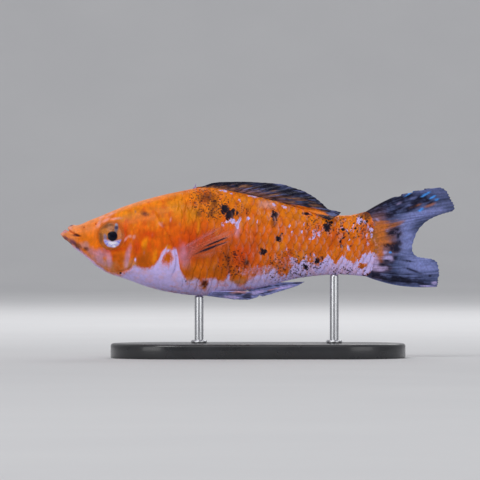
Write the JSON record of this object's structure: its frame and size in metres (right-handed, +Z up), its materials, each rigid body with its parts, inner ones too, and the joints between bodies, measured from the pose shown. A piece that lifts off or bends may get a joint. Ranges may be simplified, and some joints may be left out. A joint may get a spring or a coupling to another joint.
{
  "type": "sailfin molly fish model",
  "caption": "Life-size still model of a calico lyretail sailfin molly with its dorsal fin laid back, carried over a round-ended base on slim rods.",
  "frame": {"origin": "centre of the model's bounding box in plan, on the floor under the stand base", "axes": "+X from the snout towards the tail, so the head faces -X; +Y to the fish's right; +Z up"},
  "size_m": [0.0804, 0.028, 0.0358],
  "materials": {
    "skin": "moist scaled skin, orange with white and black",
    "lips": "soft moist skin",
    "eye": "wet cornea",
    "fin_dark": "thin membrane on raised rays, navy",
    "fin_pale": "thin membrane on raised rays, lavender",
    "fin_red": "thin membrane on raised rays, red-orange",
    "stand_base": "satin black",
    "stand_rod": "satin"
  },
  "bodies": {
    "root": {"head": "skin", "lower_jaw": "lips", "torso": "skin", "tail_stalk": "skin", "eye_left": "eye", "eye_right": "eye", "dorsal_fin": "fin_dark", "caudal_fin_upper": "fin_dark", "caudal_fin_lower": "fin_pale", "anal_fin": "fin_pale", "pectoral_fin_left": "fin_red", "pectoral_fin_right": "fin_red", "pelvic_fin_left": "fin_pale", "pelvic_fin_right": "fin_pale", "stand_base": "stand_base", "stand_rod_front": "stand_rod", "stand_rod_rear": "stand_rod"}
  },
  "joints": []
}
